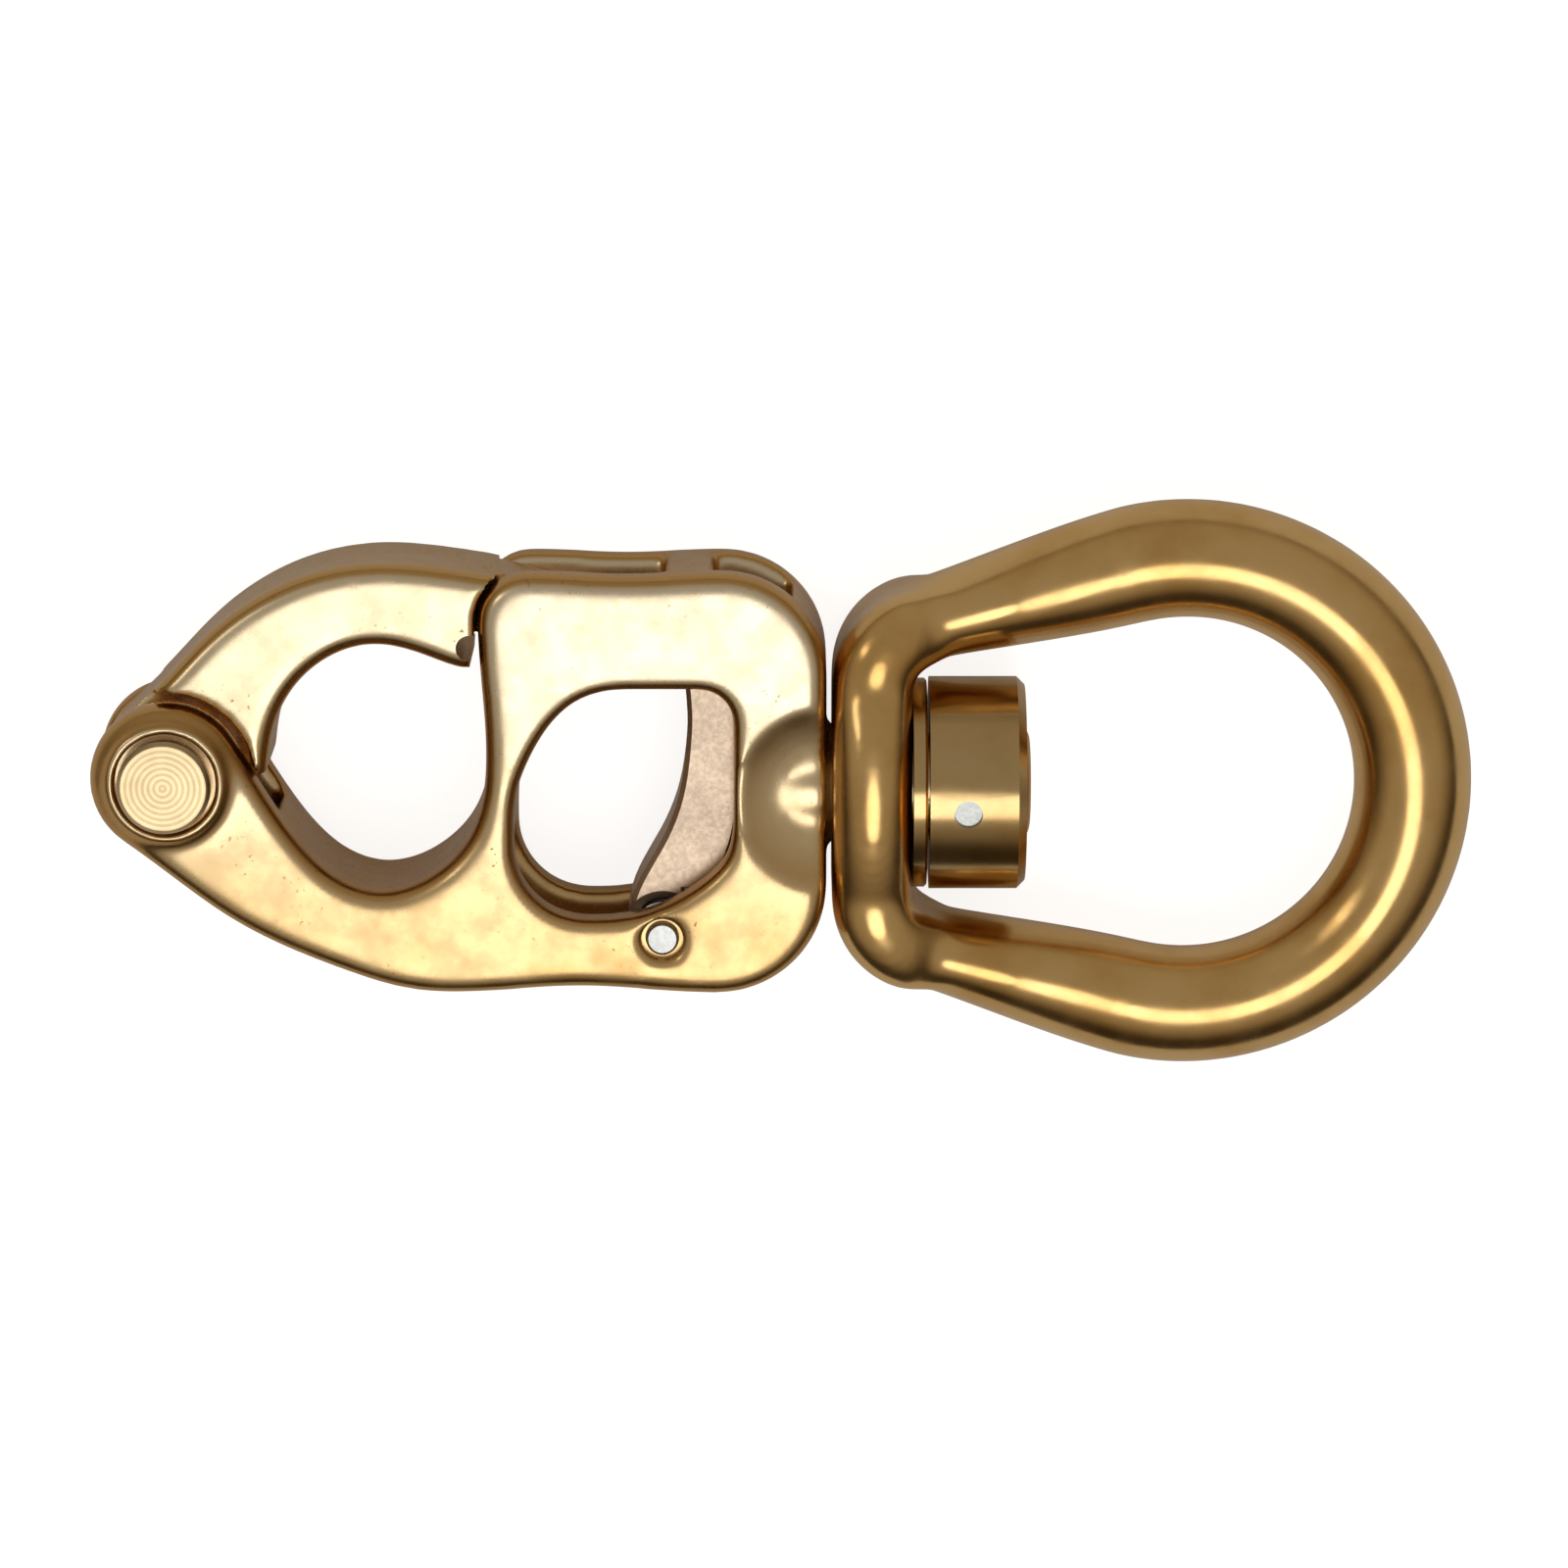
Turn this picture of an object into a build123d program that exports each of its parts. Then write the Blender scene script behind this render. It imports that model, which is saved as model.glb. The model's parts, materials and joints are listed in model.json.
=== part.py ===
"""Trigger snap shackle with a swivel bail, in millimetres.

The swivel's axis runs along X, the two cheeks lie parallel to the XY plane, and the part rests
on Z = 0. The jaw is at -X and the bail at +X. Heights in the notes are from the mid-plane.
"""
import math
import os

from build123d import *

os.makedirs("parts", exist_ok=True)

# ---- Driving sizes ---------------------------------------------------------------------------

# fits, each the gap between two surfaces
PRESS_FIT = 0.01
RUNNING_FIT = 0.05
SLOT_GAP = 0.15
SWING_GAP = 0.30

# body casting
BODY_THICK = 10.5
SLOT_WIDTH = 5.5
EDGE_ROUND = 1.0
WINDOW_ROUND = 0.66
BODY_RIGHT = 2.58
BODY_TOP = 13.8
BODY_LOW = -12.25
TOP_CORNER = 6.3
LOW_CORNER = 6.7
CHEEK_LEFT = -18.5
CHEEK_CORNER = 3.0
TOP_DIP = 0.2

# fork and jaw hinge
PIVOT_X, PIVOT_Y = -37.4, 1.05
EAR_RADIUS = 4.7
BOSS_RADIUS = 4.05
BOSS_HEIGHT = 0.7
JAW_PIN_DIA = 4.0
HEAD_DIA = 5.7
HEAD_RISE = 1.0
HEAD_CHAMFER = 0.25
SEAT_DEPTH = 1.0
SEAT_GAP = 0.22
COLLAR_DIA = 5.4
COLLAR_THICK = 1.2
BOSS_ROOT = 0.6
BOSS_TAPER = 20
FORK_FLOOR = 6.9
HOOK_START = (-30.9, -0.7)

# the housing's slot and bridge
TAIL_FLOOR = 8.2
POCKET_FLOOR = -10.8
SLOT_END = 0.4
BRIDGE_LEFT = -7.2
BRIDGE_WIDE = 2.9
BRIDGE_LOW = 11.9

# jaw
JAW_THICK = 9.4
JAW_ROUND = 1.0
HUB_RADIUS = 4.4
RELIEF_RADIUS = 5.35
SHOULDER_GAP = 0.2
HUB_START = (-40.5, 4.2)
HUB_END = (-34.6, -2.3)
HEEL = (-31.35, 1.5)
BEAK = (-19.0, 7.8)
NOTCH_TOP = 9.7
ARM_END = (-14.3, 12.7)
TAIL_LOW = 8.55
TAIL_LEDGE = 9.4
TAIL_STEP = -11.0
TAIL_TIP = -8.2

# trigger and its hinge
TRIGGER_X, TRIGGER_Y = -7.4, -8.75
TRIGGER_THICK = 5.1
TRIGGER_PIN_DIA = 2.0
PIN_SINK = 0.8
SINK_DIA = 2.6
PIN_STAND = 0.4
PIN_CHAMFER = 0.15
HUB_TRIGGER = 2.2
TRIGGER_TOP = 11.3
TRIGGER_CHAMFER = 0.3
BACK_X = -2.6
NOSE_GAP = 0.15

# trigger spring
WIRE_DIA = 0.5
SPRING_TURNS = 2.25
SPRING_STEP = 0.06
SPRING_BORE = 2.5
SPRING_LEG = 2.6

# swivel
STEM_DIA = 7.0
STEM_CHAMFER = 0.4
STEM_END = 15.05
DISH_RADIUS = 11.0
DISH_DEPTH = 1.6
NECK_DIA = 8.2
NECK_LENGTH = 3.6
BEARING_WALL = 0.5
BEARING_INSET = 0.1
BAIL_GAP = 0.32
WASHER_DIA = 12.8
WASHER_THICK = 0.85
WASHER_CHAMFER = 0.15
NUT_DIA = 13.0
NUT_LENGTH = 5.85
NUT_GAP = 0.15
NUT_CHAMFER = 0.5
LOCK_PIN_DIA = 1.7
LOCK_PIN_TURN = 6.0
LOCK_PIN_X = 2.3
LOCK_PIN_SINK = 0.35

# bail
BASE_THICK = 4.9
BASE_DEPTH = 13.6
BAR_DIA = 7.24
BOW_X = 24.55
BOW_RADIUS = 13.95
LIMB_SLOPE = 15.0
CORNER_RADIUS = 4.0
LIMB_DIA = 5.7
LIMB_START = 11.5
LIMB_FULL = 23.0
LIMB_STEP = 0.01
LIMB_LAP = 4
LIMB_STEPS = 11
SECTION_POINTS = 16

# ---- Places worked out from the sizes --------------------------------------------------------

rest_height = BASE_DEPTH / 2
mid = Plane.XY.offset(rest_height)
half_body = BODY_THICK / 2
half_slot = SLOT_WIDTH / 2
half_tongue = half_slot - SLOT_GAP
half_jaw = JAW_THICK / 2
pivot = (PIVOT_X, PIVOT_Y)
trigger_pivot = (TRIGGER_X, TRIGGER_Y)
head_face = half_body + BOSS_HEIGHT

bail_left = BODY_RIGHT + BAIL_GAP
bail_right = bail_left + BASE_THICK
washer_left = bail_right + RUNNING_FIT
nut_left = washer_left + WASHER_THICK + NUT_GAP
stem_radius = STEM_DIA / 2
sleeve_bore = stem_radius + RUNNING_FIT
sleeve_radius = sleeve_bore + BEARING_WALL


# the spring stands on the trigger pin, half-way between the trigger's hub and the cheek
coil_radius = SPRING_BORE / 2 + WIRE_DIA / 2
coil_pitch = WIRE_DIA + SPRING_STEP
coil_height = coil_pitch * SPRING_TURNS
coil_low = rest_height + (half_slot - coil_height) / 2

lock_turn = math.radians(LOCK_PIN_TURN)
lock_plane = Plane(
    origin=(nut_left + LOCK_PIN_X, 0, rest_height),
    x_dir=(1, 0, 0),
    z_dir=(0, -math.sin(lock_turn), math.cos(lock_turn)),
)


def across(x):
    """The plane square to the swivel's axis at x, with its own X along the part's Y."""
    return Plane(origin=(x, 0, rest_height), x_dir=(0, 1, 0), z_dir=(1, 0, 0))


# ---- Outlines shared by several pieces -------------------------------------------------------

# the casting seen from above: ear, lower arm, housing and the jaw's opening
with BuildSketch(mid) as casting_outline:
    with BuildLine():
        ear = CenterArc(pivot, EAR_RADIUS, 30, 205)
        arm = Spline(
            ear @ 1, (-33.3, -7.8), (-26.4, -10.95), (-20.2, -12.2), tangents=[ear % 1, (1, 0)]
        )
        low_corner = CenterArc(
            (BODY_RIGHT - LOW_CORNER, BODY_LOW + LOW_CORNER), LOW_CORNER, -90, 90
        )
        Spline(arm @ 1, (-12.4, -11.8), low_corner @ 0, tangents=[(1, 0), (1, 0)])
        top_corner = CenterArc(
            (BODY_RIGHT - TOP_CORNER, BODY_TOP - TOP_CORNER), TOP_CORNER, 0, 90
        )
        Line(low_corner @ 1, top_corner @ 0)
        cheek_corner = CenterArc(
            (CHEEK_LEFT + CHEEK_CORNER, BODY_TOP - CHEEK_CORNER), CHEEK_CORNER, 90, 90
        )
        top_middle = ((top_corner @ 1) + (cheek_corner @ 0)) / 2 - (0, TOP_DIP)
        Spline(top_corner @ 1, top_middle, cheek_corner @ 0, tangents=[(-1, 0), (-1, 0)])
        web = Spline(cheek_corner @ 1, (-18.05, 2.6), tangents=[(0, -1), (0, -1)])
        Spline(
            web @ 1, (-20.3, -3.95), (-24.3, -5.8), (-28.3, -4.05), HOOK_START, ear @ 0,
            tangents=[(0, -1), ear % 0],
        )
    make_face()

# the trigger's window
with BuildSketch(mid) as window_outline:
    with BuildLine():
        window_corner = CenterArc((-5.15, 4.55), 2.1, 0, 90)
        roof = Line(window_corner @ 1, (-9.4, 6.65))
        back = Spline(roof @ 1, (-13.6, 5.1), (-15.85, 1.4), (-16.4, -3.1),
                      tangents=[(-1, 0), (0, -1)])
        floor = CenterArc((-12.0, -3.1), 4.4, 180, 90)
        front = Spline(floor @ 1, (-8.35, -7.1), (-4.0, -4.4), (-3.05, -0.6),
                       tangents=[(1, 0), (0, 1)])
        Line(front @ 1, window_corner @ 0)
    make_face()

# ---- Body: one casting with the swivel's stem ------------------------------------------------

with BuildPart() as body:
    add(casting_outline.sketch)
    extrude(amount=half_body, both=True)
    fillet(body.faces().filter_by(Axis.Z).edges(), EDGE_ROUND)

    # raised bosses round the jaw's pin, tapered into the ears
    for side in (1, -1):
        with BuildSketch(mid.offset(side * (half_body - BOSS_ROOT))):
            with Locations(pivot):
                Circle(BOSS_RADIUS)
        extrude(amount=side * (BOSS_HEIGHT + BOSS_ROOT), taper=BOSS_TAPER)

    # the window through both cheeks
    add(window_outline.sketch)
    extrude(amount=half_body, both=True, mode=Mode.SUBTRACT)
    rim = body.edges(Select.LAST).group_by(Axis.Z)
    fillet(rim[0] + rim[-1], WINDOW_ROUND)

    # a shallow round dish in each cheek, down to the round neck of the stem
    for side in (1, -1):
        dish_z = rest_height + side * (half_body - DISH_DEPTH + DISH_RADIUS)
        with Locations((BODY_RIGHT, 0, dish_z)):
            Sphere(DISH_RADIUS, mode=Mode.SUBTRACT)
    with BuildSketch(across(BODY_RIGHT - NECK_LENGTH)):
        Circle(NECK_DIA / 2)
    extrude(amount=NECK_LENGTH)

    # the fork's slot for the jaw's hub, with a round floor about the pivot
    with BuildSketch(mid):
        with Locations(pivot):
            Circle(FORK_FLOOR)
    extrude(amount=half_slot, both=True, mode=Mode.SUBTRACT)

    # the slot between the cheeks for the jaw's tail and the trigger, with its bridge
    with BuildSketch(mid):
        with BuildLine():
            Polyline(
                (CHEEK_LEFT - 1.5, BODY_TOP + 1), (CHEEK_LEFT - 1.5, TAIL_FLOOR),
                (-14.6, TAIL_FLOOR), (-13.0, 0), (-17.0, -3.2), (-17.2, -7.4),
                (-13.6, POCKET_FLOOR), (-9.2, POCKET_FLOOR), (-4.4, POCKET_FLOOR), (-3.2, -7.6),
                (-1.0, 0), (SLOT_END, 5.6), (SLOT_END, BODY_TOP + 1), close=True,
            )
        make_face()
        with Locations(trigger_pivot):
            Circle(HUB_TRIGGER + SWING_GAP)
        with BuildLine():
            Polyline(
                (BRIDGE_LEFT, BODY_TOP + 2), (BRIDGE_LEFT, BRIDGE_LOW),
                (BRIDGE_LEFT + BRIDGE_WIDE, BRIDGE_LOW), (BRIDGE_LEFT + BRIDGE_WIDE, BODY_TOP + 2),
                close=True,
            )
        make_face(mode=Mode.SUBTRACT)
    extrude(amount=half_slot, both=True, mode=Mode.SUBTRACT)

    # the jaw pin's bore, the head's seat in front and the rivet collar's seat behind
    with BuildSketch(mid):
        with Locations(pivot):
            Circle(JAW_PIN_DIA / 2 + PRESS_FIT)
    extrude(amount=head_face, both=True, mode=Mode.SUBTRACT)
    with BuildSketch(mid.offset(head_face)):
        with Locations(pivot):
            Circle(HEAD_DIA / 2 + SEAT_GAP)
    extrude(amount=-SEAT_DEPTH, mode=Mode.SUBTRACT)
    with BuildSketch(mid.offset(-head_face)):
        with Locations(pivot):
            Circle(COLLAR_DIA / 2 + PRESS_FIT)
    extrude(amount=COLLAR_THICK, mode=Mode.SUBTRACT)

    # the trigger pin's bore, counterbored at both cheeks
    with BuildSketch(mid):
        with Locations(trigger_pivot):
            Circle(TRIGGER_PIN_DIA / 2 + PRESS_FIT)
    extrude(amount=half_body, both=True, mode=Mode.SUBTRACT)
    for side in (1, -1):
        with BuildSketch(mid.offset(side * half_body)):
            with Locations(trigger_pivot):
                Circle(SINK_DIA / 2)
        extrude(amount=-side * PIN_SINK, mode=Mode.SUBTRACT)

    # the swivel's stem, chamfered at its end and drilled for the nut's lock pin
    with BuildSketch(across(BODY_RIGHT)):
        Circle(stem_radius)
    extrude(amount=STEM_END - BODY_RIGHT)
    chamfer(body.faces().sort_by(Axis.X)[-1].edges(), STEM_CHAMFER)
    with BuildSketch(lock_plane):
        Circle(LOCK_PIN_DIA / 2 + PRESS_FIT)
    extrude(amount=NUT_DIA, both=True, mode=Mode.SUBTRACT)

# ---- Jaw ---------------------------------------------------------------------------------------

with BuildSketch(mid) as arm_outline:
    with BuildLine():
        outer = Spline(
            HUB_START, (-38.4, 6.2), (-34.8, 9.95), (-30.0, 13.1), (-25.0, 14.25), (-20.3, 13.95),
            (-16.7, 13.35), ARM_END,
            tangents=[(1, 1), (0.9, -0.36)],
        )
        inner = Spline(
            BEAK, (-21.1, 8.4), (-24.8, 9.3), (-28.9, 7.5), (-30.9, 4.2), HEEL,
            tangents=[(-1, 0.1), (-0.1, -1)],
        )
        Polyline(outer @ 1, (ARM_END[0], NOTCH_TOP), (BEAK[0], NOTCH_TOP), BEAK)
        Polyline(HEEL, HUB_END, pivot, HUB_START)
    make_face()

away_from_hook = Vector(math.cos(math.radians(30)), math.sin(math.radians(30))) * SWING_GAP
ear_clear = (ear @ 0) + away_from_hook
hook_clear = Vector(*HOOK_START) + away_from_hook

with BuildPart() as jaw:
    add(arm_outline.sketch)
    extrude(amount=half_jaw, both=True)
    long_edges = jaw.faces().filter_by(Axis.Z).edges().filter_by(GeomType.BSPLINE)
    fillet(long_edges, JAW_ROUND)

    # outside the tongue the arm stops clear of the ears and of the cheeks
    for side in (1, -1):
        with BuildSketch(mid.offset(side * half_tongue)):
            with BuildLine():
                shoulder = CenterArc(cheek_corner.arc_center, CHEEK_CORNER + SHOULDER_GAP, 90, 90)
                Polyline(
                    shoulder @ 1, (CHEEK_LEFT - SHOULDER_GAP, 0), (0, 0),
                    (0, (shoulder @ 0).Y), shoulder @ 0,
                )
            make_face()
            with Locations(pivot):
                Circle(RELIEF_RADIUS)
            with BuildLine():
                Polyline(pivot, ear_clear, hook_clear, HUB_END, pivot)
            make_face()
        extrude(amount=side * half_jaw, mode=Mode.SUBTRACT)

    # the tongue: the hub in the fork, and the tail in the cheeks' slot
    with BuildSketch(mid):
        with Locations(pivot):
            Circle(HUB_RADIUS)
        with BuildLine():
            tail_top = Spline(
                ARM_END, (TAIL_STEP, TAIL_LEDGE + 1.4), tangents=[(0.9, -0.36), (0.3, -1)]
            )
            Polyline(
                tail_top @ 1, (TAIL_STEP + 0.3, TAIL_LEDGE), (TAIL_TIP, TAIL_LEDGE),
                (TAIL_TIP, TAIL_LOW), (BEAK[0] + 0.6, TAIL_LOW), (BEAK[0] + 0.6, NOTCH_TOP + 1),
                ARM_END,
            )
        make_face()
    extrude(amount=half_tongue, both=True)
    with BuildSketch(mid):
        with Locations(pivot):
            Circle(JAW_PIN_DIA / 2 + RUNNING_FIT)
    extrude(amount=half_jaw, both=True, mode=Mode.SUBTRACT)

# ---- Jaw pin and its riveting collar -----------------------------------------------------------

with BuildPart() as jaw_pin:
    with BuildSketch(mid.offset(head_face - SEAT_DEPTH)):
        with Locations(pivot):
            Circle(HEAD_DIA / 2)
    extrude(amount=SEAT_DEPTH + HEAD_RISE)
    chamfer(jaw_pin.faces().sort_by(Axis.Z)[-1].edges(), HEAD_CHAMFER)
    with BuildSketch(mid.offset(head_face - SEAT_DEPTH)):
        with Locations(pivot):
            Circle(JAW_PIN_DIA / 2)
    extrude(amount=-(2 * head_face - SEAT_DEPTH))

with BuildPart() as jaw_pin_collar:
    with BuildSketch(mid.offset(-head_face)):
        with Locations(pivot):
            Circle(COLLAR_DIA / 2)
            Circle(JAW_PIN_DIA / 2 + PRESS_FIT, mode=Mode.SUBTRACT)
    extrude(amount=COLLAR_THICK - PRESS_FIT)

# ---- Trigger, its pin and its spring -----------------------------------------------------------

with BuildPart() as trigger:
    with BuildSketch(mid):
        with BuildLine():
            hub_left = (TRIGGER_X - HUB_TRIGGER, TRIGGER_Y)
            pad = Spline(
                hub_left, (-9.1, -6.2), (-7.5, -3.2), (-6.3, 0.1), (-5.9, 3.4), (-6.1, 7.6),
                tangents=[(0, 1), (-0.1, 1)],
            )
            nose = Polyline(pad @ 1, (TAIL_TIP + NOSE_GAP, TAIL_LEDGE + 0.1))
            nose_end = Line(nose @ 1, (TAIL_TIP + NOSE_GAP - 0.5, TRIGGER_TOP))
            Polyline(
                nose_end @ 1, (BACK_X - 0.6, TRIGGER_TOP), (BACK_X, TRIGGER_TOP - 1.4), (BACK_X, 0.6)
            )
            Spline((BACK_X, 0.6), (-3.4, -4.2), (TRIGGER_X + HUB_TRIGGER, TRIGGER_Y),
                   tangents=[(0, -1), (-0.2, -1)])
            CenterArc(trigger_pivot, HUB_TRIGGER, 180, 180)
        make_face()
    extrude(amount=TRIGGER_THICK / 2, both=True)
    chamfer(trigger.faces().filter_by(Axis.Z).edges(), TRIGGER_CHAMFER)

    # one side of the hub is cut away for the spring's coils, with a groove for its leg
    with BuildSketch(mid):
        with Locations(trigger_pivot):
            Circle(HUB_TRIGGER + SWING_GAP)
        with Locations((TRIGGER_X + coil_radius, TRIGGER_Y)):
            Rectangle(
                WIRE_DIA + 2 * SLOT_GAP, SPRING_LEG + SLOT_GAP, align=(Align.CENTER, Align.MIN)
            )
    extrude(amount=TRIGGER_THICK / 2, mode=Mode.SUBTRACT)
    with BuildSketch(mid):
        with Locations(trigger_pivot):
            Circle(TRIGGER_PIN_DIA / 2 + RUNNING_FIT)
    extrude(amount=TRIGGER_THICK, both=True, mode=Mode.SUBTRACT)

with BuildPart() as trigger_pin:
    with BuildSketch(mid):
        with Locations(trigger_pivot):
            Circle(TRIGGER_PIN_DIA / 2)
    extrude(amount=half_body - PIN_SINK + PIN_STAND, both=True)
    chamfer(trigger_pin.faces().filter_by(Axis.Z).edges(), PIN_CHAMFER)

with BuildPart() as trigger_spring:
    with BuildLine() as spring_path:
        coil = Helix(
            pitch=coil_pitch, height=coil_height, radius=coil_radius,
            center=(TRIGGER_X, TRIGGER_Y, coil_low), lefthand=True,
        )
        trigger_leg = Line(coil @ 0 - (coil % 0) * SPRING_LEG, coil @ 0)
        Line(coil @ 1, coil @ 1 + (coil % 1) * SPRING_LEG)
    # an eight-sided section keeps so small a coil light
    with BuildSketch(Plane(origin=trigger_leg @ 0, z_dir=trigger_leg % 0)):
        RegularPolygon(WIRE_DIA / 2, 8)
    sweep(path=spring_path.line, is_frenet=True)

# ---- Bail: one casting, swivelling on the stem -------------------------------------------------


def bail_section(place, half_wide, half_deep, fullness):
    """A closed rounded section: a circle or oval at fullness 2, squarer above it."""
    points = []
    for step in range(SECTION_POINTS):
        angle = 2 * math.pi * step / SECTION_POINTS
        c, s = math.cos(angle), math.sin(angle)
        x = math.copysign(abs(c) ** (2 / fullness), c) * half_wide
        y = math.copysign(abs(s) ** (2 / fullness), s) * half_deep
        points.append((x, y))
    with BuildSketch(place) as section:
        with BuildLine():
            Spline(*points, periodic=True)
        make_face()
    return section.sketch


def smooth(low, high, value):
    """0 below low, 1 above high, and an even rise between them."""
    t = min(max((value - low) / (high - low), 0), 1)
    return t * t * (3 - 2 * t)


# the centreline of the upper half: up the base, round the corner, along the limb, into the bow
limb_angle = math.radians(LIMB_SLOPE)
base_x = bail_left + BASE_THICK / 2
join = (BOW_X - BOW_RADIUS * math.sin(limb_angle), BOW_RADIUS * math.cos(limb_angle))
corner_turn = math.pi / 2 - limb_angle
corner_y = join[1] - (join[0] - base_x) * math.tan(limb_angle)
corner_start = corner_y - CORNER_RADIUS * math.tan(corner_turn / 2)
with BuildLine(mid) as limb_line:
    Line((base_x, 0), (base_x, corner_start))
    corner_middle = (base_x + CORNER_RADIUS, corner_start)
    corner = CenterArc(corner_middle, CORNER_RADIUS, 180, -math.degrees(corner_turn))
    Line(corner @ 1, join)
    CenterArc((BOW_X, 0), BOW_RADIUS, 90 + LIMB_SLOPE, -LIMB_LAP)
limb_wire = limb_line.wires()[0]
limb_length = limb_wire.length


def limb_section(run):
    """The upper limb's section that far along its centreline from the middle of the base."""
    point = limb_wire.position_at(run / limb_length)
    along = limb_wire.tangent_at(run / limb_length)
    inward = along.cross(Vector(0, 0, 1))
    taper = (BAR_DIA / 2 - LIMB_STEP - LIMB_DIA / 2) * smooth(LIMB_START, LIMB_FULL, run)
    wide = BASE_THICK / 2 + (LIMB_DIA - BASE_THICK) / 2 * smooth(4, LIMB_START, run) + taper
    deep = BASE_DEPTH / 2 - (BASE_DEPTH - LIMB_DIA) / 2 * smooth(0, LIMB_START, run) + taper
    fullness = 3 - smooth(0, LIMB_START, run)
    return bail_section(Plane(origin=point, x_dir=inward, z_dir=along), wide, deep, fullness)


upper_limb = [limb_section(limb_length * step / LIMB_STEPS) for step in range(LIMB_STEPS + 1)]
lower_limb = [mirror(section, about=Plane.XZ) for section in upper_limb[1:]]

with BuildPart() as bail:
    for section in upper_limb[::-1] + lower_limb:
        add(section)
    loft()
    # the bow, a round bar from limb to limb
    with BuildLine():
        bow_middle = (BOW_X, 0, rest_height)
        bow = CenterArc(bow_middle, BOW_RADIUS, -(90 + LIMB_SLOPE), 180 + 2 * LIMB_SLOPE)
    with BuildSketch(Plane(origin=bow @ 0, z_dir=bow % 0)):
        Circle(BAR_DIA / 2)
    sweep(path=bow)
    # flat faces towards the body and for the washer, and the bore for the bearing sleeve
    with BuildSketch(across(bail_left)):
        Circle(BOW_RADIUS)
    extrude(amount=-BAIL_GAP, mode=Mode.SUBTRACT)
    with BuildSketch(across(bail_right)):
        Circle(WASHER_DIA / 2 + SLOT_GAP)
    extrude(amount=WASHER_THICK, mode=Mode.SUBTRACT)
    with BuildSketch(across(bail_left)):
        Circle(sleeve_radius + PRESS_FIT)
    extrude(amount=BASE_THICK, mode=Mode.SUBTRACT)

with BuildPart() as bail_bearing:
    with BuildSketch(across(bail_left + BEARING_INSET)):
        Circle(sleeve_radius)
        Circle(sleeve_bore, mode=Mode.SUBTRACT)
    extrude(amount=BASE_THICK - 2 * BEARING_INSET)

# ---- Thrust washer, nut and lock pin -----------------------------------------------------------

with BuildPart() as thrust_washer:
    with BuildSketch(across(washer_left)):
        Circle(WASHER_DIA / 2)
        Circle(stem_radius + RUNNING_FIT, mode=Mode.SUBTRACT)
    extrude(amount=WASHER_THICK)
    washer_rim = thrust_washer.faces().sort_by(Axis.X)[-1].edges().sort_by(SortBy.LENGTH)[-1]
    chamfer(washer_rim, WASHER_CHAMFER)

with BuildPart() as swivel_nut:
    with BuildSketch(across(nut_left)):
        Circle(NUT_DIA / 2)
        Circle(stem_radius + PRESS_FIT, mode=Mode.SUBTRACT)
    extrude(amount=NUT_LENGTH)
    nut_rim = swivel_nut.faces().sort_by(Axis.X)[-1].edges().sort_by(SortBy.LENGTH)[-1]
    chamfer(nut_rim, NUT_CHAMFER)
    with BuildSketch(lock_plane):
        Circle(LOCK_PIN_DIA / 2 + PRESS_FIT)
    extrude(amount=NUT_DIA, both=True, mode=Mode.SUBTRACT)

with BuildPart() as nut_lock_pin:
    with BuildSketch(lock_plane):
        Circle(LOCK_PIN_DIA / 2)
    extrude(amount=NUT_DIA / 2 - LOCK_PIN_SINK, both=True)

# ---- Files -------------------------------------------------------------------------------------

body.part.label = "body"
jaw.part.label = "jaw"
jaw_pin.part.label = "jaw_pin"
jaw_pin_collar.part.label = "jaw_pin_collar"
trigger.part.label = "trigger"
trigger_pin.part.label = "trigger_pin"
trigger_spring.part.label = "trigger_spring"
bail.part.label = "bail"
bail_bearing.part.label = "bail_bearing"
thrust_washer.part.label = "thrust_washer"
swivel_nut.part.label = "swivel_nut"
nut_lock_pin.part.label = "nut_lock_pin"

pieces = (
    body, jaw, jaw_pin, jaw_pin_collar, trigger, trigger_pin, trigger_spring,
    bail, bail_bearing, thrust_washer, swivel_nut, nut_lock_pin,
)
for piece in pieces:
    export_step(piece.part, f"parts/{piece.part.label}.step")
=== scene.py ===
# %% [markdown]
# # A trigger snap shackle, dressed for its picture
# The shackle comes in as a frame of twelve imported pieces: a slotted body, a hinged jaw, a trigger,
# a bail that swivels on the body's stem, and the pins, nut and washer that hold them. This lesson
# gives each of them the surface it has on the real thing, and lights it as on a studio table.

# %% Load the frame
import json
import math

import bpy
from mathutils import Matrix, Vector


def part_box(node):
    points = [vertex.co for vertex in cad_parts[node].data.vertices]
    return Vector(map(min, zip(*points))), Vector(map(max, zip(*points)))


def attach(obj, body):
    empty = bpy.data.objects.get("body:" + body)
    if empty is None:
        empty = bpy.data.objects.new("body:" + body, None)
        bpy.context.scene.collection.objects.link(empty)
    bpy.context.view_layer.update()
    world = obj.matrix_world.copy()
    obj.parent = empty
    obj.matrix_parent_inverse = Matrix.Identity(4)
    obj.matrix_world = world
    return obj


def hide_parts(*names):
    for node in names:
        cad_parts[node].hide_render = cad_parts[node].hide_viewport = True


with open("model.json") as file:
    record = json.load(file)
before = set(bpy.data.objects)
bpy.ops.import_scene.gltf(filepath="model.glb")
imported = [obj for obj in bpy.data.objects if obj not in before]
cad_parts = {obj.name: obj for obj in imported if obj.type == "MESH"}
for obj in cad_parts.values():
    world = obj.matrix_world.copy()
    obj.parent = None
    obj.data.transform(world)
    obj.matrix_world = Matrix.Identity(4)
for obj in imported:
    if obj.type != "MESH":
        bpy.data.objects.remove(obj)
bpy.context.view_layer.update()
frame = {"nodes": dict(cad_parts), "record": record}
print("nodes:", ", ".join(sorted(frame["nodes"])))

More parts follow.
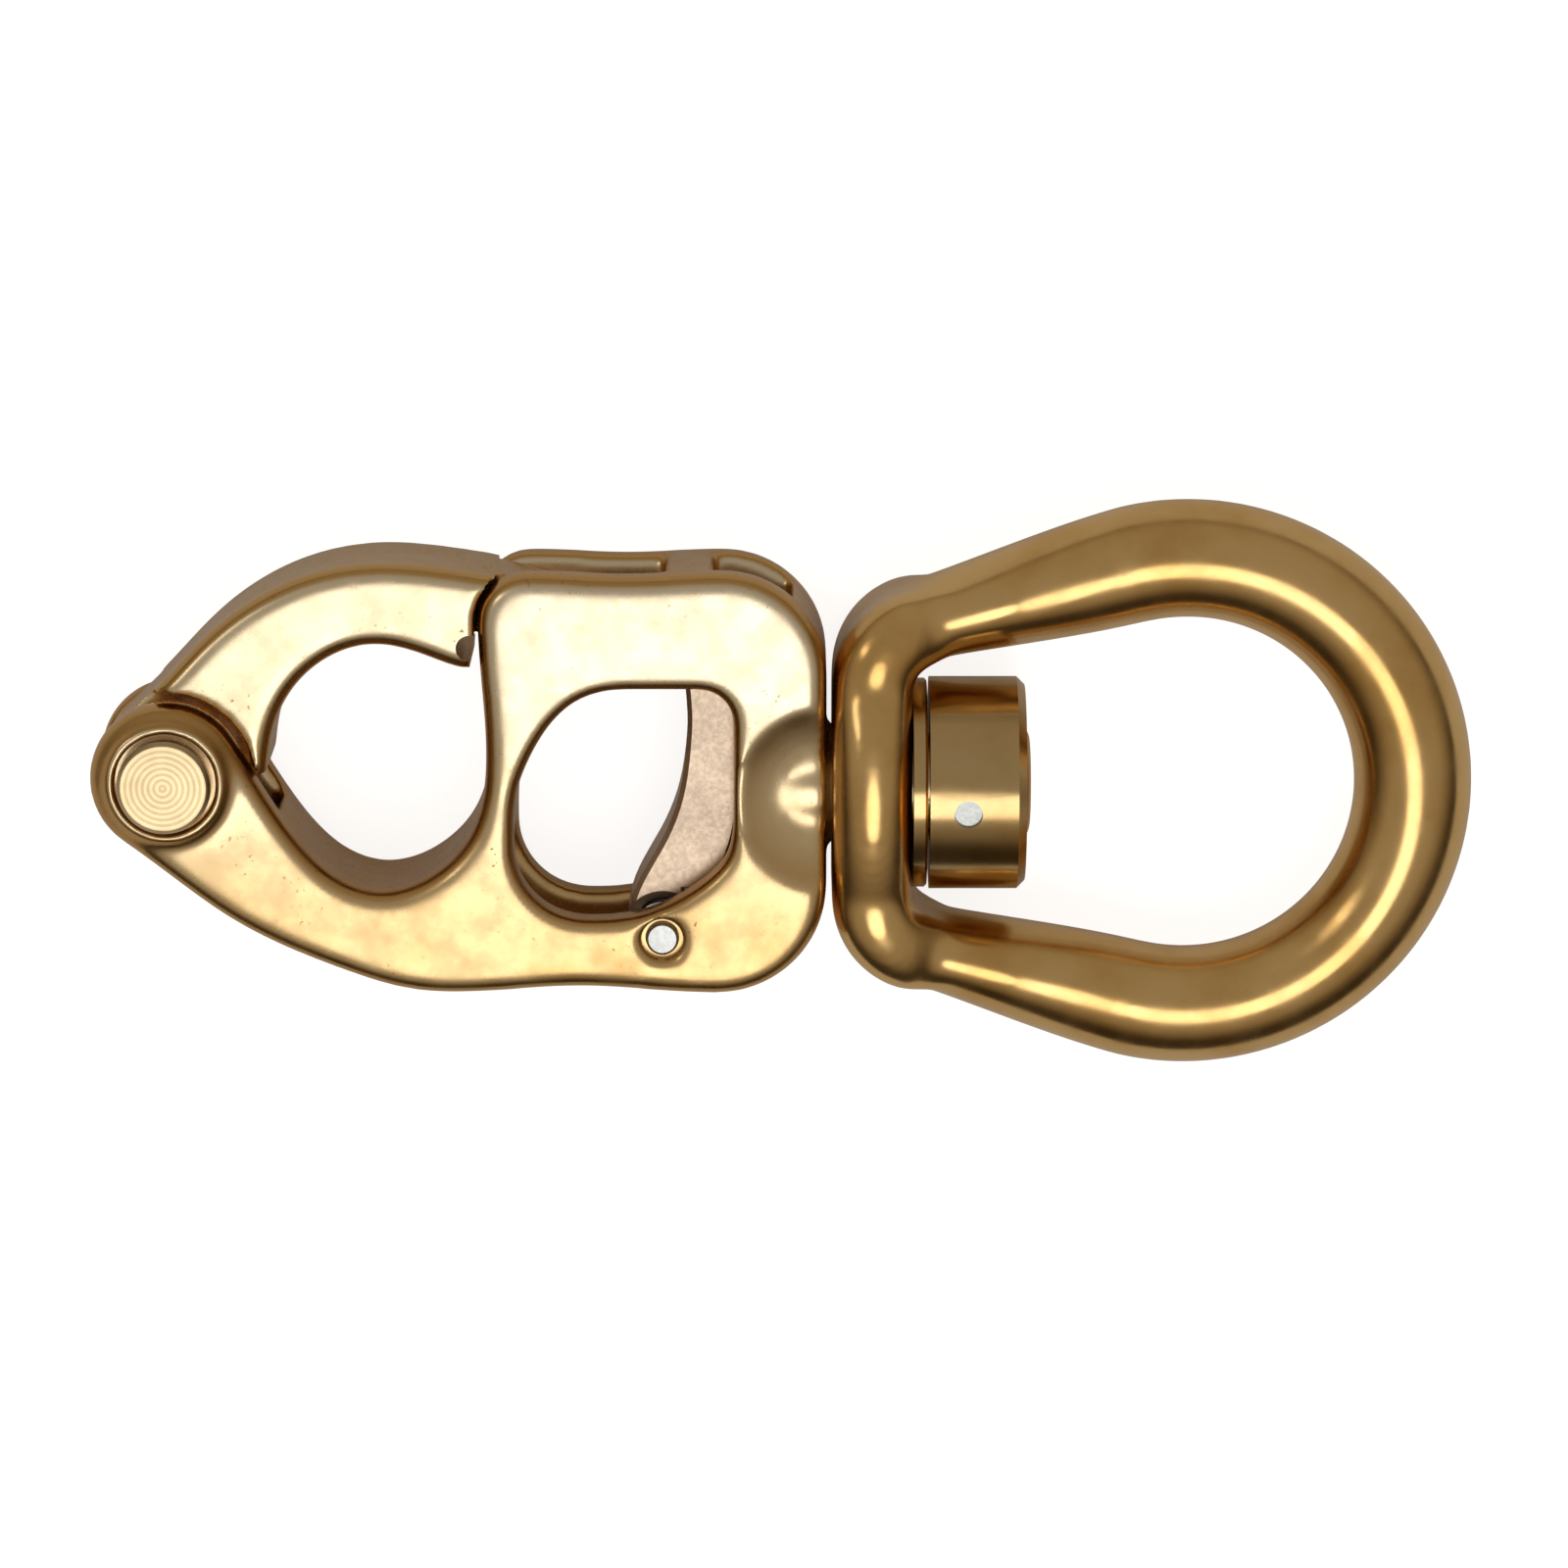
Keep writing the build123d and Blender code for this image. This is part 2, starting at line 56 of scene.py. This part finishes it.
# %% [markdown]
# ## Smooth skins
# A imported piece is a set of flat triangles, and polished metal shows every one of them. We could
# draw each piece again, but its shape is already right. So we copy it, join the loose triangles,
# shade it smooth up to a chosen angle, and let the Weighted Normal modifier keep the flat faces flat
# beside the rounded ones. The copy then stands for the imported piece.

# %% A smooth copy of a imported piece
scene = bpy.context.scene


def deselect():
    """Clears the selection, because operators act on all that is selected."""
    if bpy.context.mode != "OBJECT":
        bpy.ops.object.mode_set(mode="OBJECT")
    bpy.ops.object.select_all(action="DESELECT")


def pick(thing):
    """Selects one object and makes it the active one."""
    deselect()
    thing.select_set(True)
    bpy.context.view_layer.objects.active = thing


def apply_modifier(thing, kind, **settings):
    """Adds a modifier with its settings and applies it at once."""
    pick(thing)
    modifier = thing.modifiers.new(kind.title(), kind)
    for name, value in settings.items():
        setattr(modifier, name, value)
    bpy.ops.object.modifier_apply(modifier=modifier.name)


def stand_in(piece, node):
    """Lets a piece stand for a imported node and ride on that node's body."""
    piece.name = piece.data.name = node + "_skin"
    piece.data.materials.clear()
    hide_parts(node)
    bodies = frame["record"]["behaviour"]["bodies"]
    body = next(name for name, nodes in bodies.items() if node in nodes)
    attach(piece, body)
    print(node, "->", piece.name, len(piece.data.polygons), "faces on", body)
    return piece


def shade(piece, angle=30):
    """Smooth shading up to an angle, with the flat faces kept flat."""
    pick(piece)
    bpy.ops.object.shade_smooth_by_angle(angle=math.radians(angle))
    apply_modifier(piece, "WEIGHTED_NORMAL", mode="FACE_AREA", weight=50, keep_sharp=True)


def joined_copy(node):
    """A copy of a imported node's mesh with its loose triangles joined."""
    source = frame["nodes"][node]
    copy = source.copy()
    copy.data = source.data.copy()
    for key in list(copy.keys()):
        del copy[key]
    copy.parent = None
    scene.collection.objects.link(copy)
    pick(copy)
    bpy.ops.object.mode_set(mode="EDIT")
    bpy.ops.mesh.select_all(action="SELECT")
    bpy.ops.mesh.customdata_custom_splitnormals_clear()
    bpy.ops.mesh.remove_doubles(threshold=2e-7)
    bpy.ops.object.mode_set(mode="OBJECT")
    return copy


# %% Copy the machined pieces
machined = [node for node in sorted(frame["nodes"]) if node not in ("body", "bail", "jaw")]
skins = {}
for node in machined:
    copy = joined_copy(node)
    shade(copy)
    skins[node] = stand_in(copy, node)

# %% [markdown]
# ## Castings have soft edges
# A casting that has been tumbled and polished has no crisp edge left. We could bevel each edge, but
# edges that meet at odd angles bevel badly. A voxel remesh builds the surface anew from small even
# squares, and a few rounds of smoothing then wear every edge down by the same amount. What a cutter
# makes afterwards, such as the seat of a pin, stays crisp, so it is carved again at the end.


# %% Wear a casting, and carve it afterwards
def wear(piece, voxel, rounds):
    """Remeshes a closed piece and smooths it, which softens its edges."""
    apply_modifier(piece, "REMESH", mode="VOXEL", voxel_size=voxel, adaptivity=0.0)
    apply_modifier(piece, "SMOOTH", factor=0.5, iterations=rounds)
    print(piece.name, "worn to", len(piece.data.polygons), "faces")


def carve(piece, axis, start, end, radius):
    """Cuts a round hole along X or Z between two points on its axis."""
    start, end = Vector(start), Vector(end)
    turn = (0, math.pi / 2, 0) if axis == "X" else (0, 0, 0)
    deselect()
    bpy.ops.mesh.primitive_cylinder_add(
        vertices=96, radius=radius, depth=(end - start).length,
        location=(start + end) / 2, rotation=turn,
    )
    cutter = bpy.context.active_object
    apply_modifier(piece, "BOOLEAN", operation="DIFFERENCE", solver="EXACT", object=cutter)
    pick(cutter)
    bpy.ops.object.delete()


# %% The body, with a crisp seat round each of its pins
body_voxel, body_rounds, soft_angle = 0.00024, 26, 35
pin_seats = (("jaw_pin", 0.0020, 0.00022), ("trigger_pin", 0.0005, 0.00028))
cutter_length = 0.002
body = joined_copy("body")
wear(body, body_voxel, body_rounds)
for pin, seat_depth, play in pin_seats:
    low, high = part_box(pin)
    spot = (low + high) / 2
    seat = high.z - seat_depth
    seat_radius = (high.x - low.x) / 2 + play
    carve(body, "Z", (spot.x, spot.y, seat), (spot.x, spot.y, seat + cutter_length), seat_radius)
shade(body, soft_angle)
skins["body"] = stand_in(body, "body")

# %% [markdown]
# ## The bail
# On the real shackle the bail is one casting: a deep base round the stem, two knees, two limbs that
# swell towards the bow, and the bow itself, a round bar. We model the base, a limb and the bow one
# by one, mirror the first two, let all of them run into each other, and wear the whole to one smooth
# skin, as the foundry's wax is.

# %% The bail's places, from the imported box
bail_low, bail_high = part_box("bail")
middle = (bail_low.z + bail_high.z) / 2
bar = 0.00362
base_thick, base_deep = 0.0049, bail_high.z - bail_low.z
bow_centre = Vector((bail_high.x - bail_high.y, 0, middle))
slope = math.radians(15)
along = Vector((math.cos(slope), math.sin(slope), 0))
outwards = Vector((-math.sin(slope), math.cos(slope), 0))
join = bow_centre + outwards * (bail_high.y - bar)
base_x = bail_low.x + base_thick / 2
limb_length = (join.x - base_x) / math.cos(slope)
knee = join - along * limb_length
bend, bend_radius = math.pi / 2 - slope, 0.0036
bend_start = knee.y - bend_radius * math.tan(bend / 2)
bend_centre = Vector((base_x + bend_radius, bend_start, middle))
limb_turn = (0, math.pi / 2, slope)
print("bow at", bow_centre[:], "join at", join[:])


# %% Operators that the bail needs
def settle(thing, name):
    """Puts a new primitive's place into its mesh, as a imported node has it."""
    thing.name = name
    pick(thing)
    bpy.ops.object.transform_apply(location=True, rotation=True, scale=True)
    return thing


def edit(thing):
    """Opens edit mode with all selected."""
    pick(thing)
    bpy.ops.object.mode_set(mode="EDIT")
    bpy.ops.mesh.select_all(action="SELECT")


def close_edit():
    """Turns all faces outwards and goes back to object mode."""
    bpy.ops.mesh.select_all(action="SELECT")
    bpy.ops.mesh.normals_make_consistent(inside=False)
    bpy.ops.object.mode_set(mode="OBJECT")


def ease(t):
    """A smooth rise from 0 to 1."""
    t = min(max(t, 0.0), 1.0)
    return t * t * (3 - 2 * t)


def depth_at(run):
    """How deep the base is at a run from the stem's axis: crowned, then down into the limb."""
    crown = math.sqrt(crown_radius**2 - min(run, bend_start) ** 2) - crown_radius + base_deep / 2
    return 2 * (crown + (end_depth - crown) * ease((run - bend_start - fall_delay) / fall_length))


# %% The base and its upper knee, drawn out of one rectangle
crown_radius, corner_radius, corner_segments = 0.0165, 0.0023, 8
end_depth, fall_delay, fall_length = 0.0026, 0.0015, 0.0100
start = -0.001
straight, steps, tail = 16, 12, 8
tail_stride, tail_shrink = 0.0007, 0.955
deselect()
bpy.ops.mesh.primitive_plane_add(
    size=1, location=(base_x, start, middle), rotation=(math.pi / 2, 0, 0)
)
base = settle(bpy.context.active_object, "bail_base")
edit(base)
depth = depth_at(start)
bpy.ops.transform.resize(value=(base_thick, 1, depth), center_override=(base_x, start, middle))
bpy.ops.mesh.bevel(affect="VERTICES", offset=corner_radius, segments=corner_segments)
bpy.ops.mesh.select_all(action="SELECT")
stride = (bend_start - start) / straight
for step in range(straight):
    run = start + (bend_start - start) * (step + 1) / straight
    bpy.ops.mesh.extrude_region_move(TRANSFORM_OT_translate={"value": (0, stride, 0)})
    bpy.ops.transform.resize(value=(1, 1, depth_at(run) / depth), center_override=(0, 0, middle))
    depth = depth_at(run)
for step in range(steps):
    bpy.ops.mesh.extrude_region_move(TRANSFORM_OT_translate={"value": (0, 0, 0)})
    bpy.ops.transform.rotate(value=bend / steps, orient_axis="Z", center_override=bend_centre)
    run += bend_radius * bend / steps
    bpy.ops.transform.resize(value=(1, 1, depth_at(run) / depth), center_override=(0, 0, middle))
    depth = depth_at(run)
end = knee + along * bend_radius * math.tan(bend / 2)
for step in range(tail):
    bpy.ops.mesh.extrude_region_move(TRANSFORM_OT_translate={"value": along * tail_stride})
    run += tail_stride
    end += along * tail_stride
    bpy.ops.transform.resize(value=(1, 1, depth_at(run) / depth), center_override=(0, 0, middle))
    bpy.ops.transform.resize(value=(tail_shrink,) * 3, center_override=end)
    depth = depth_at(run)
close_edit()
print("base reaches", [round(v * 1000, 2) for v in base.dimensions])

# %% The upper limb, drawn back from the bow's own round and growing slimmer
limb_steps, overlap, inset = 24, 0.0008, 0.00002
reach = limb_length - 0.0030
half_wide, half_deep = 0.00244, 0.0040
deselect()
bpy.ops.mesh.primitive_circle_add(
    vertices=64, radius=bar - inset, fill_type="NGON",
    location=(overlap, 0, 0), rotation=(0, math.pi / 2, 0),
)
limb = settle(bpy.context.active_object, "bail_limb")
edit(limb)
bpy.ops.mesh.extrude_region_move(TRANSFORM_OT_translate={"value": (-overlap, 0, 0)})
wide, deep = 1.0, 1.0
for step in range(limb_steps):
    fraction = (step + 1) / limb_steps
    slimming = 0.35 * ease(fraction) + 0.65 * fraction**1.4
    new_wide = 1 - (1 - half_wide / bar) * slimming
    new_deep = 1 + (half_deep / bar - 1) * ease(fraction)
    bpy.ops.mesh.extrude_region_move(TRANSFORM_OT_translate={"value": (-reach / limb_steps, 0, 0)})
    section_centre = (-reach * fraction, 0, 0)
    bpy.ops.transform.resize(
        value=(1, new_wide / wide, new_deep / deep), center_override=section_centre
    )
    wide, deep = new_wide, new_deep
close_edit()
limb.rotation_euler = (0, 0, slope)
limb.location = join
limb = settle(limb, "bail_limb")
print("limb reaches", [round(v * 1000, 2) for v in limb.dimensions])

# %% The bow, a disc spun round its centre
deselect()
bpy.ops.mesh.primitive_circle_add(
    vertices=64, radius=bar, fill_type="NGON", location=join, rotation=limb_turn
)
bow = settle(bpy.context.active_object, "bail_bow")
edit(bow)
bpy.ops.mesh.spin(steps=120, angle=math.pi + 2 * slope, center=bow_centre, axis=(0, 0, 1))
close_edit()
print("bow reaches", [round(v * 1000, 2) for v in bow.dimensions])

# %% Mirror the base and the limb, join the forms and wear them to one skin
for half in (base, limb):
    apply_modifier(half, "MIRROR", use_axis=(False, True, False), use_mirror_merge=False)
pick(bow)
base.select_set(True)
limb.select_set(True)
bpy.ops.object.join()
bail = bow
fine_voxel, bail_rounds = 0.0002, 75
wear(bail, fine_voxel, bail_rounds)
bore_low, bore_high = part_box("bail_bearing")
washer_low, washer_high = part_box("thrust_washer")
eye_side = bail_low.x + base_thick
bore, margin = (bore_high.y - bore_low.y) / 2 + 0.00001, 0.001
recess, recess_end = washer_high.y + 0.00015, washer_high.x + 0.0003
carve(bail, "X", (bail_low.x - margin, 0, middle), (eye_side + margin, 0, middle), bore)
carve(bail, "X", (eye_side, 0, middle), (recess_end, 0, middle), recess)
shade(bail, soft_angle)
skins["bail"] = stand_in(bail, "bail")

# %% The jaw, with the small notch in its beak
jaw_rounds = 12
notch_x, notch_y, notch_radius = -0.0190, 0.0092, 0.0008
jaw = joined_copy("jaw")
wear(jaw, fine_voxel, jaw_rounds)
carve(jaw, "Z", (notch_x, notch_y, 0), (notch_x, notch_y, base_deep), notch_radius)
shade(jaw, soft_angle)
skins["jaw"] = stand_in(jaw, "jaw")

# %% [markdown]
# ## A wrapper for shader maths
# Procedural finishes are small formulas: a speckle here, more of it along an edge, a little roughness
# on top. Wiring each sum by hand hides the formula. One class that wraps a socket lets us write it
# as Python, and one method adds any other node with its settings and inputs.


# %% The wrapper and the sheet it draws on
class Value:
    """A socket that adds Math nodes when it is used in an expression."""

    def __init__(self, sheet, socket):
        self.sheet, self.socket = sheet, socket

    def maths(self, operation, *others):
        inputs = {index: other for index, other in enumerate((self,) + others)}
        return self.sheet.node("ShaderNodeMath", {"operation": operation}, inputs)["Value"]

    def __add__(self, other):
        return self.maths("ADD", other)

    def __mul__(self, other):
        return self.maths("MULTIPLY", other)

    def absolute(self):
        return self.maths("ABSOLUTE")


class Sheet:
    """A material's node tree, or the world's, with one method that adds a node."""

    def __init__(self, name, owner=None):
        self.owner = owner or bpy.data.materials.new(name)
        self.owner.use_nodes = True
        self.tree = self.owner.node_tree
        self.tree.nodes.clear()

    def node(self, kind, settings=None, inputs=None):
        """Adds a node: first its settings, then the values or links of its inputs."""
        made = self.tree.nodes.new(kind)
        for name, value in (settings or {}).items():
            if name == "stops":
                ramp = made.color_ramp
                while len(ramp.elements) < len(value):
                    ramp.elements.new(0.5)
                for element, (place, colour) in zip(ramp.elements, value):
                    element.position, element.color = place, (*colour, 1.0)
            else:
                setattr(made, name, value)
        for name, value in (inputs or {}).items():
            socket = made.inputs[name]
            if isinstance(value, Value):
                self.tree.links.new(value.socket, socket)
            else:
                socket.default_value = value
        return {socket.name: Value(self, socket) for socket in made.outputs if socket.enabled}

    def place(self, scale=(1, 1, 1), centre=(0, 0, 0), turn=(0, 0, 0)):
        """Object coordinates, moved so that centre is the origin and then turned and scaled."""
        spot = self.node("ShaderNodeTexCoord")["Object"]
        moved = self.node("ShaderNodeVectorMath", {"operation": "SUBTRACT"}, {0: spot, 1: centre})
        mapped = self.node(
            "ShaderNodeMapping", {"vector_type": "POINT"},
            {"Vector": moved["Vector"], "Rotation": turn, "Scale": scale},
        )
        return mapped["Vector"]

    def noise(self, where, scale, detail=3.0, rough=0.5):
        """A soft random value between 0 and 1."""
        inputs = {"Vector": where, "Scale": scale, "Detail": detail, "Roughness": rough}
        made = self.node("ShaderNodeTexNoise", {}, inputs)
        return made.get("Fac") or made["Factor"]

    def step(self, value, low, high, start=0.0, end=1.0):
        """A smooth rise from start to end while value goes from low to high."""
        return self.node(
            "ShaderNodeMapRange", {"interpolation_type": "SMOOTHSTEP"},
            {"Value": value, "From Min": low, "From Max": high, "To Min": start, "To Max": end},
        )["Result"]

    def blend(self, amount, first, second):
        """Two colours mixed by a value."""
        inputs = {"Fac": amount, "Color1": first, "Color2": second}
        return self.node("ShaderNodeMixRGB", {"blend_type": "MIX"}, inputs)["Color"]

    def bump(self, height, distance, strength=1.0, normal=None):
        """A bump of that many metres from a height between 0 and 1."""
        inputs = {"Height": height, "Distance": distance, "Strength": strength}
        if normal is not None:
            inputs["Normal"] = normal
        return self.node("ShaderNodeBump", {}, inputs)["Normal"]

    def finish(self, colour, roughness, normal=None, **fixed):
        """Ends in one Principled shader: varying values are linked, the others set."""
        inputs = {"Base Color": colour, "Roughness": roughness}
        inputs.update(fixed)
        if normal is not None:
            inputs["Normal"] = normal
        shader = self.node("ShaderNodeBsdfPrincipled", {}, inputs)["BSDF"]
        self.node("ShaderNodeOutputMaterial", {}, {"Surface": shader})
        print("finish", self.owner.name, len(self.tree.nodes), "nodes")
        return self.owner


# %% [markdown]
# ## Polished bronze
# The castings are polished bronze with a golden coat. Polished metal has hardly any colour of its own
# between highlights: it shows the room, tinted. What makes it real is that the polish is not
# perfect. Broad, faint waves bend the reflections, a fine grain softens them, and small specks of
# tarnish sit on the flats. On the body and the jaw, light is also painted into the colour: their
# broad faces, which face the lamp, are painted paler as a highlight, more so towards the top, and
# their edges and sides are painted browner as shade.


# %% A golden finish with its own wear, and painted light where pale is given
def golden(name, tint, rough, wave=2.2e-5, speck=0.25, grain=0.0, pale=None):
    """Polished bronze: wave is its unevenness in metres, pale a painted highlight on its flats."""
    s = Sheet(name)
    spot = s.place()
    cloud = s.noise(spot, 140.0, 4.0, 0.6)
    dots = s.step(s.noise(spot, 1900.0, 2.0, 0.7), 0.62, 0.74)
    patch = s.step(s.noise(spot, 260.0, 3.0, 0.6), 0.45, 0.7)
    tarnish = dots * patch * speck
    darker = tuple(c * k for c, k in zip(tint, (0.86, 0.78, 0.62))) + (1.0,)
    worn = s.blend(s.step(cloud, 0.38, 0.72), (*tint, 1.0), darker)
    # Painted light: flats that face the lamp take the pale tint as a painted highlight, more so
    # towards the top.
    if pale:
        upper = s.node("ShaderNodeSeparateXYZ", {}, {"Vector": spot})["Y"] + cloud * 0.008
        facing = s.node("ShaderNodeTexCoord")["Normal"]
        flat = s.node("ShaderNodeSeparateXYZ", {}, {"Vector": facing})["Z"].absolute()
        lit_towards_top = s.blend(s.step(upper, -0.006, 0.014), worn, (*pale, 1.0))
        # Painted shade: skin is the browner colour of edges and sides, and worn then holds it and the
        # painted highlight.
        skin = tuple(c * k for c, k in zip(tint, (0.80, 0.66, 0.48))) + (1.0,)
        worn = s.blend(s.step(flat, 0.80, 0.985), skin, lit_towards_top)
    brown = (tint[0] * 0.42, tint[1] * 0.3, tint[2] * 0.2, 1.0)
    colour = s.blend(tarnish, worn, brown)
    smears = s.noise(spot, 420.0, 4.0, 0.6)
    roughness = s.step(smears, 0.3, 0.75, rough * 0.85, rough * 1.25) + tarnish * 0.3
    normal = s.bump(s.noise(spot, 210.0, 2.0, 0.4), wave)
    if grain:
        normal = s.bump(s.noise(spot, 5200.0, 3.0, 0.6), grain, normal=normal)
    return s.finish(colour, roughness, normal, Metallic=1.0)


# The body and the jaw get a painted highlight on their flats and painted shade on their edges and
# sides.
castings = golden(
    "polished_bronze", (0.76, 0.54, 0.265), 0.27, wave=4e-5, speck=0.7, pale=(0.84, 0.70, 0.49)
)
jaw_finish = golden(
    "jaw_bronze", (0.78, 0.57, 0.28), 0.25, speck=0.8, grain=1.2e-6, pale=(0.83, 0.68, 0.45)
)
bail_finish = golden("bail_bronze", (0.78, 0.51, 0.21), 0.21, speck=0.15)
turned = golden("turned_bronze", (0.62, 0.43, 0.20), 0.17, speck=0.1)

# %% [markdown]
# ## Blasted bronze, steel and liner
# The trigger is left matte from blasting, a little pinker than the polished castings. The small pins
# and the spring are steel, and the jaw's pin is bronze with turned rings on its head. The liner in
# the bail hardly shows.


# %% The remaining finishes
def blasted(name, tint, rough):
    """A matte, finely pitted metal."""
    s = Sheet(name)
    spot = s.place()
    pits = s.noise(spot, 3800.0, 3.0, 0.65)
    cloud = s.step(s.noise(spot, 330.0, 3.0, 0.6), 0.3, 0.75)
    darker = tuple(c * 0.8 for c in tint) + (1.0,)
    colour = s.blend(cloud, (*tint, 1.0), darker)
    roughness = s.step(pits, 0.3, 0.7, rough * 0.9, rough * 1.1)
    return s.finish(colour, roughness, s.bump(pits, 4e-6), Metallic=1.0)


def turned_face(name, tint, rough, centre):
    """Metal turned on a lathe: fine rings about an axis along Z through centre."""
    s = Sheet(name)
    spot = s.place(centre=centre)
    rings = s.node(
        "ShaderNodeTexWave", {"wave_type": "RINGS", "rings_direction": "Z"},
        {"Vector": spot, "Scale": 900.0, "Distortion": 0.0, "Detail": 2.0},
    )
    fine = rings.get("Fac") or rings["Factor"]
    cloud = s.step(s.noise(spot, 700.0, 3.0, 0.6), 0.3, 0.75)
    darker = tuple(c * 0.85 for c in tint) + (1.0,)
    colour = s.blend(cloud, (*tint, 1.0), darker)
    roughness = s.step(fine, 0.2, 0.8, rough * 0.8, rough * 1.2)
    return s.finish(colour, roughness, s.bump(fine, 1.2e-6), Metallic=1.0)


trigger_finish = blasted("blasted_bronze", (0.80, 0.63, 0.48), 0.40)
steel = blasted("bright_steel", (0.50, 0.51, 0.50), 0.28)
liner = blasted("bearing_liner", (0.52, 0.48, 0.40), 0.5)
pin_low, pin_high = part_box("jaw_pin")
pin_middle = tuple((pin_low + pin_high) / 2)
pin_finish = turned_face("turned_pin", (0.66, 0.50, 0.29), 0.24, pin_middle)

# %% Give each skin its finish, from a table of finishes and slots
finishes = {
    "body": (castings, "polished_bronze"),
    "jaw": (jaw_finish, "polished_bronze"),
    "bail": (bail_finish, "polished_bronze"),
    "swivel_nut": (turned, "polished_bronze"),
    "thrust_washer": (turned, "matte_bronze"),
    "trigger": (trigger_finish, "matte_bronze"),
    "jaw_pin": (pin_finish, "steel_pin"),
    "jaw_pin_collar": (steel, "steel_pin"),
    "trigger_pin": (steel, "steel_pin"),
    "nut_lock_pin": (steel, "steel_pin"),
    "trigger_spring": (steel, "spring_wire"),
    "bail_bearing": (liner, "bearing_liner"),
}
for node, (material, slot) in finishes.items():
    skins[node].data.materials.append(material)
print("finished", len(finishes), "pieces")

# %% [markdown]
# ## Floor and background
# The shackle lies on a plain pale table. The camera should see white round it, yet the lamps must
# stay low enough for the gold to keep its colour. So the floor glows a little by itself, for the
# camera and in the metal's reflections only, and its matte part still takes the shadow.

# %% A pale floor
deselect()
bpy.ops.mesh.primitive_plane_add(size=2.4, location=(0, 0, 0))
floor = bpy.context.active_object
floor.name = "floor"
pick(floor)
bpy.ops.object.transform_apply(location=True, rotation=True, scale=True)

s = Sheet("pale_table")
path = s.node("ShaderNodeLightPath")
seen = path["Is Camera Ray"] + path["Is Glossy Ray"] * 0.08
matte = s.node("ShaderNodeBsdfDiffuse", {}, {"Color": (0.86, 0.86, 0.86, 1.0)})["BSDF"]
lit = {"Color": (1, 1, 1, 1), "Strength": seen * 0.83}
glow = s.node("ShaderNodeEmission", {}, lit)["Emission"]
both = s.node("ShaderNodeAddShader", {}, {0: matte, 1: glow})["Shader"]
s.node("ShaderNodeOutputMaterial", {}, {"Surface": both})
floor.data.materials.append(s.owner)
print("floor", floor.dimensions[:])

# %% [markdown]
# ## Light
# A round, polished object shows its whole room. A large soft lamp beside the camera makes the flats
# nearly white, and a smaller one to the upper left draws the second highlight on the bow. The room
# itself is grey overhead and a dark brown low down on the jaw arm's side, which gives the tubes their
# brown gold and the dark lines beside their highlights.


# %% The room and its lamps
def lamp(name, polar, azimuth, distance, width, height, power):
    """A soft lamp, polar degrees from straight up, aimed at the shackle."""
    p, a = math.radians(polar), math.radians(azimuth)
    way = Vector((math.sin(p) * math.cos(a), math.sin(p) * math.sin(a), math.cos(p)))
    data = bpy.data.lights.new(name, "AREA")
    data.shape, data.size, data.size_y, data.energy = "ELLIPSE", width, height, power
    thing = bpy.data.objects.new(name, data)
    thing.location = way * distance
    thing.rotation_mode = "QUATERNION"
    thing.rotation_quaternion = way.to_track_quat("Z", "Y")
    thing.visible_camera = False
    scene.collection.objects.link(thing)
    print("lamp", name, [round(c, 2) for c in thing.location])
    return thing


lamp("main_lamp", 15, -82, 0.9, 0.43, 0.43, 0.95)
lamp("upper_left_lamp", 44, 150, 0.9, 0.16, 0.34, 0.25)

room = Sheet("room", bpy.data.worlds.new("room"))
scene.world = room.owner
way = room.node("ShaderNodeTexCoord")["Generated"]
tilt = {0: way, 1: (0.0, 0.34, 0.94)}
height = room.node("ShaderNodeVectorMath", {"operation": "DOT_PRODUCT"}, tilt)["Value"]
levels = (
    (0.50, (0.040, 0.030, 0.020)), (0.56, (0.065, 0.050, 0.034)), (0.66, (0.21, 0.175, 0.13)),
    (0.78, (0.35, 0.315, 0.26)), (1.0, (0.36, 0.34, 0.31)),
)
glow = room.node("ShaderNodeValToRGB", {"stops": levels}, {"Fac": height * 0.5 + 0.5})["Color"]
shine = room.node("ShaderNodeBackground", {}, {"Color": glow, "Strength": 1.0})["Background"]
room.node("ShaderNodeOutputWorld", {}, {"Surface": shine})
print("room", len(room.tree.nodes), "nodes")

# %% [markdown]
# ## Camera
# The picture is taken from almost straight above, with a long lens, leaning twelve degrees towards
# the jaw's arm. The aim is a point on the swivel's axis.

# %% The camera
lean = math.radians(12)
axis_height, aim_drop, distance = 0.0068, 0.00012, 0.42
back = Vector((0, math.sin(lean), math.cos(lean)))
up = Vector((0, math.cos(lean), -math.sin(lean)))
camera_data = bpy.data.cameras.new("camera")
camera_data.sensor_width = 36
camera_data.lens = 157.5
camera = bpy.data.objects.new("camera", camera_data)
aim = Vector((0, 0, axis_height)) - up * aim_drop
camera.location = aim + back * distance
camera.rotation_mode = "QUATERNION"
camera.rotation_quaternion = Matrix((Vector((1, 0, 0)), up, back)).transposed().to_quaternion()
camera_data.clip_start = 0.01
scene.collection.objects.link(camera)
scene.camera = camera
scene.view_settings.view_transform = "Standard"
print("camera", [round(c, 3) for c in camera.location])
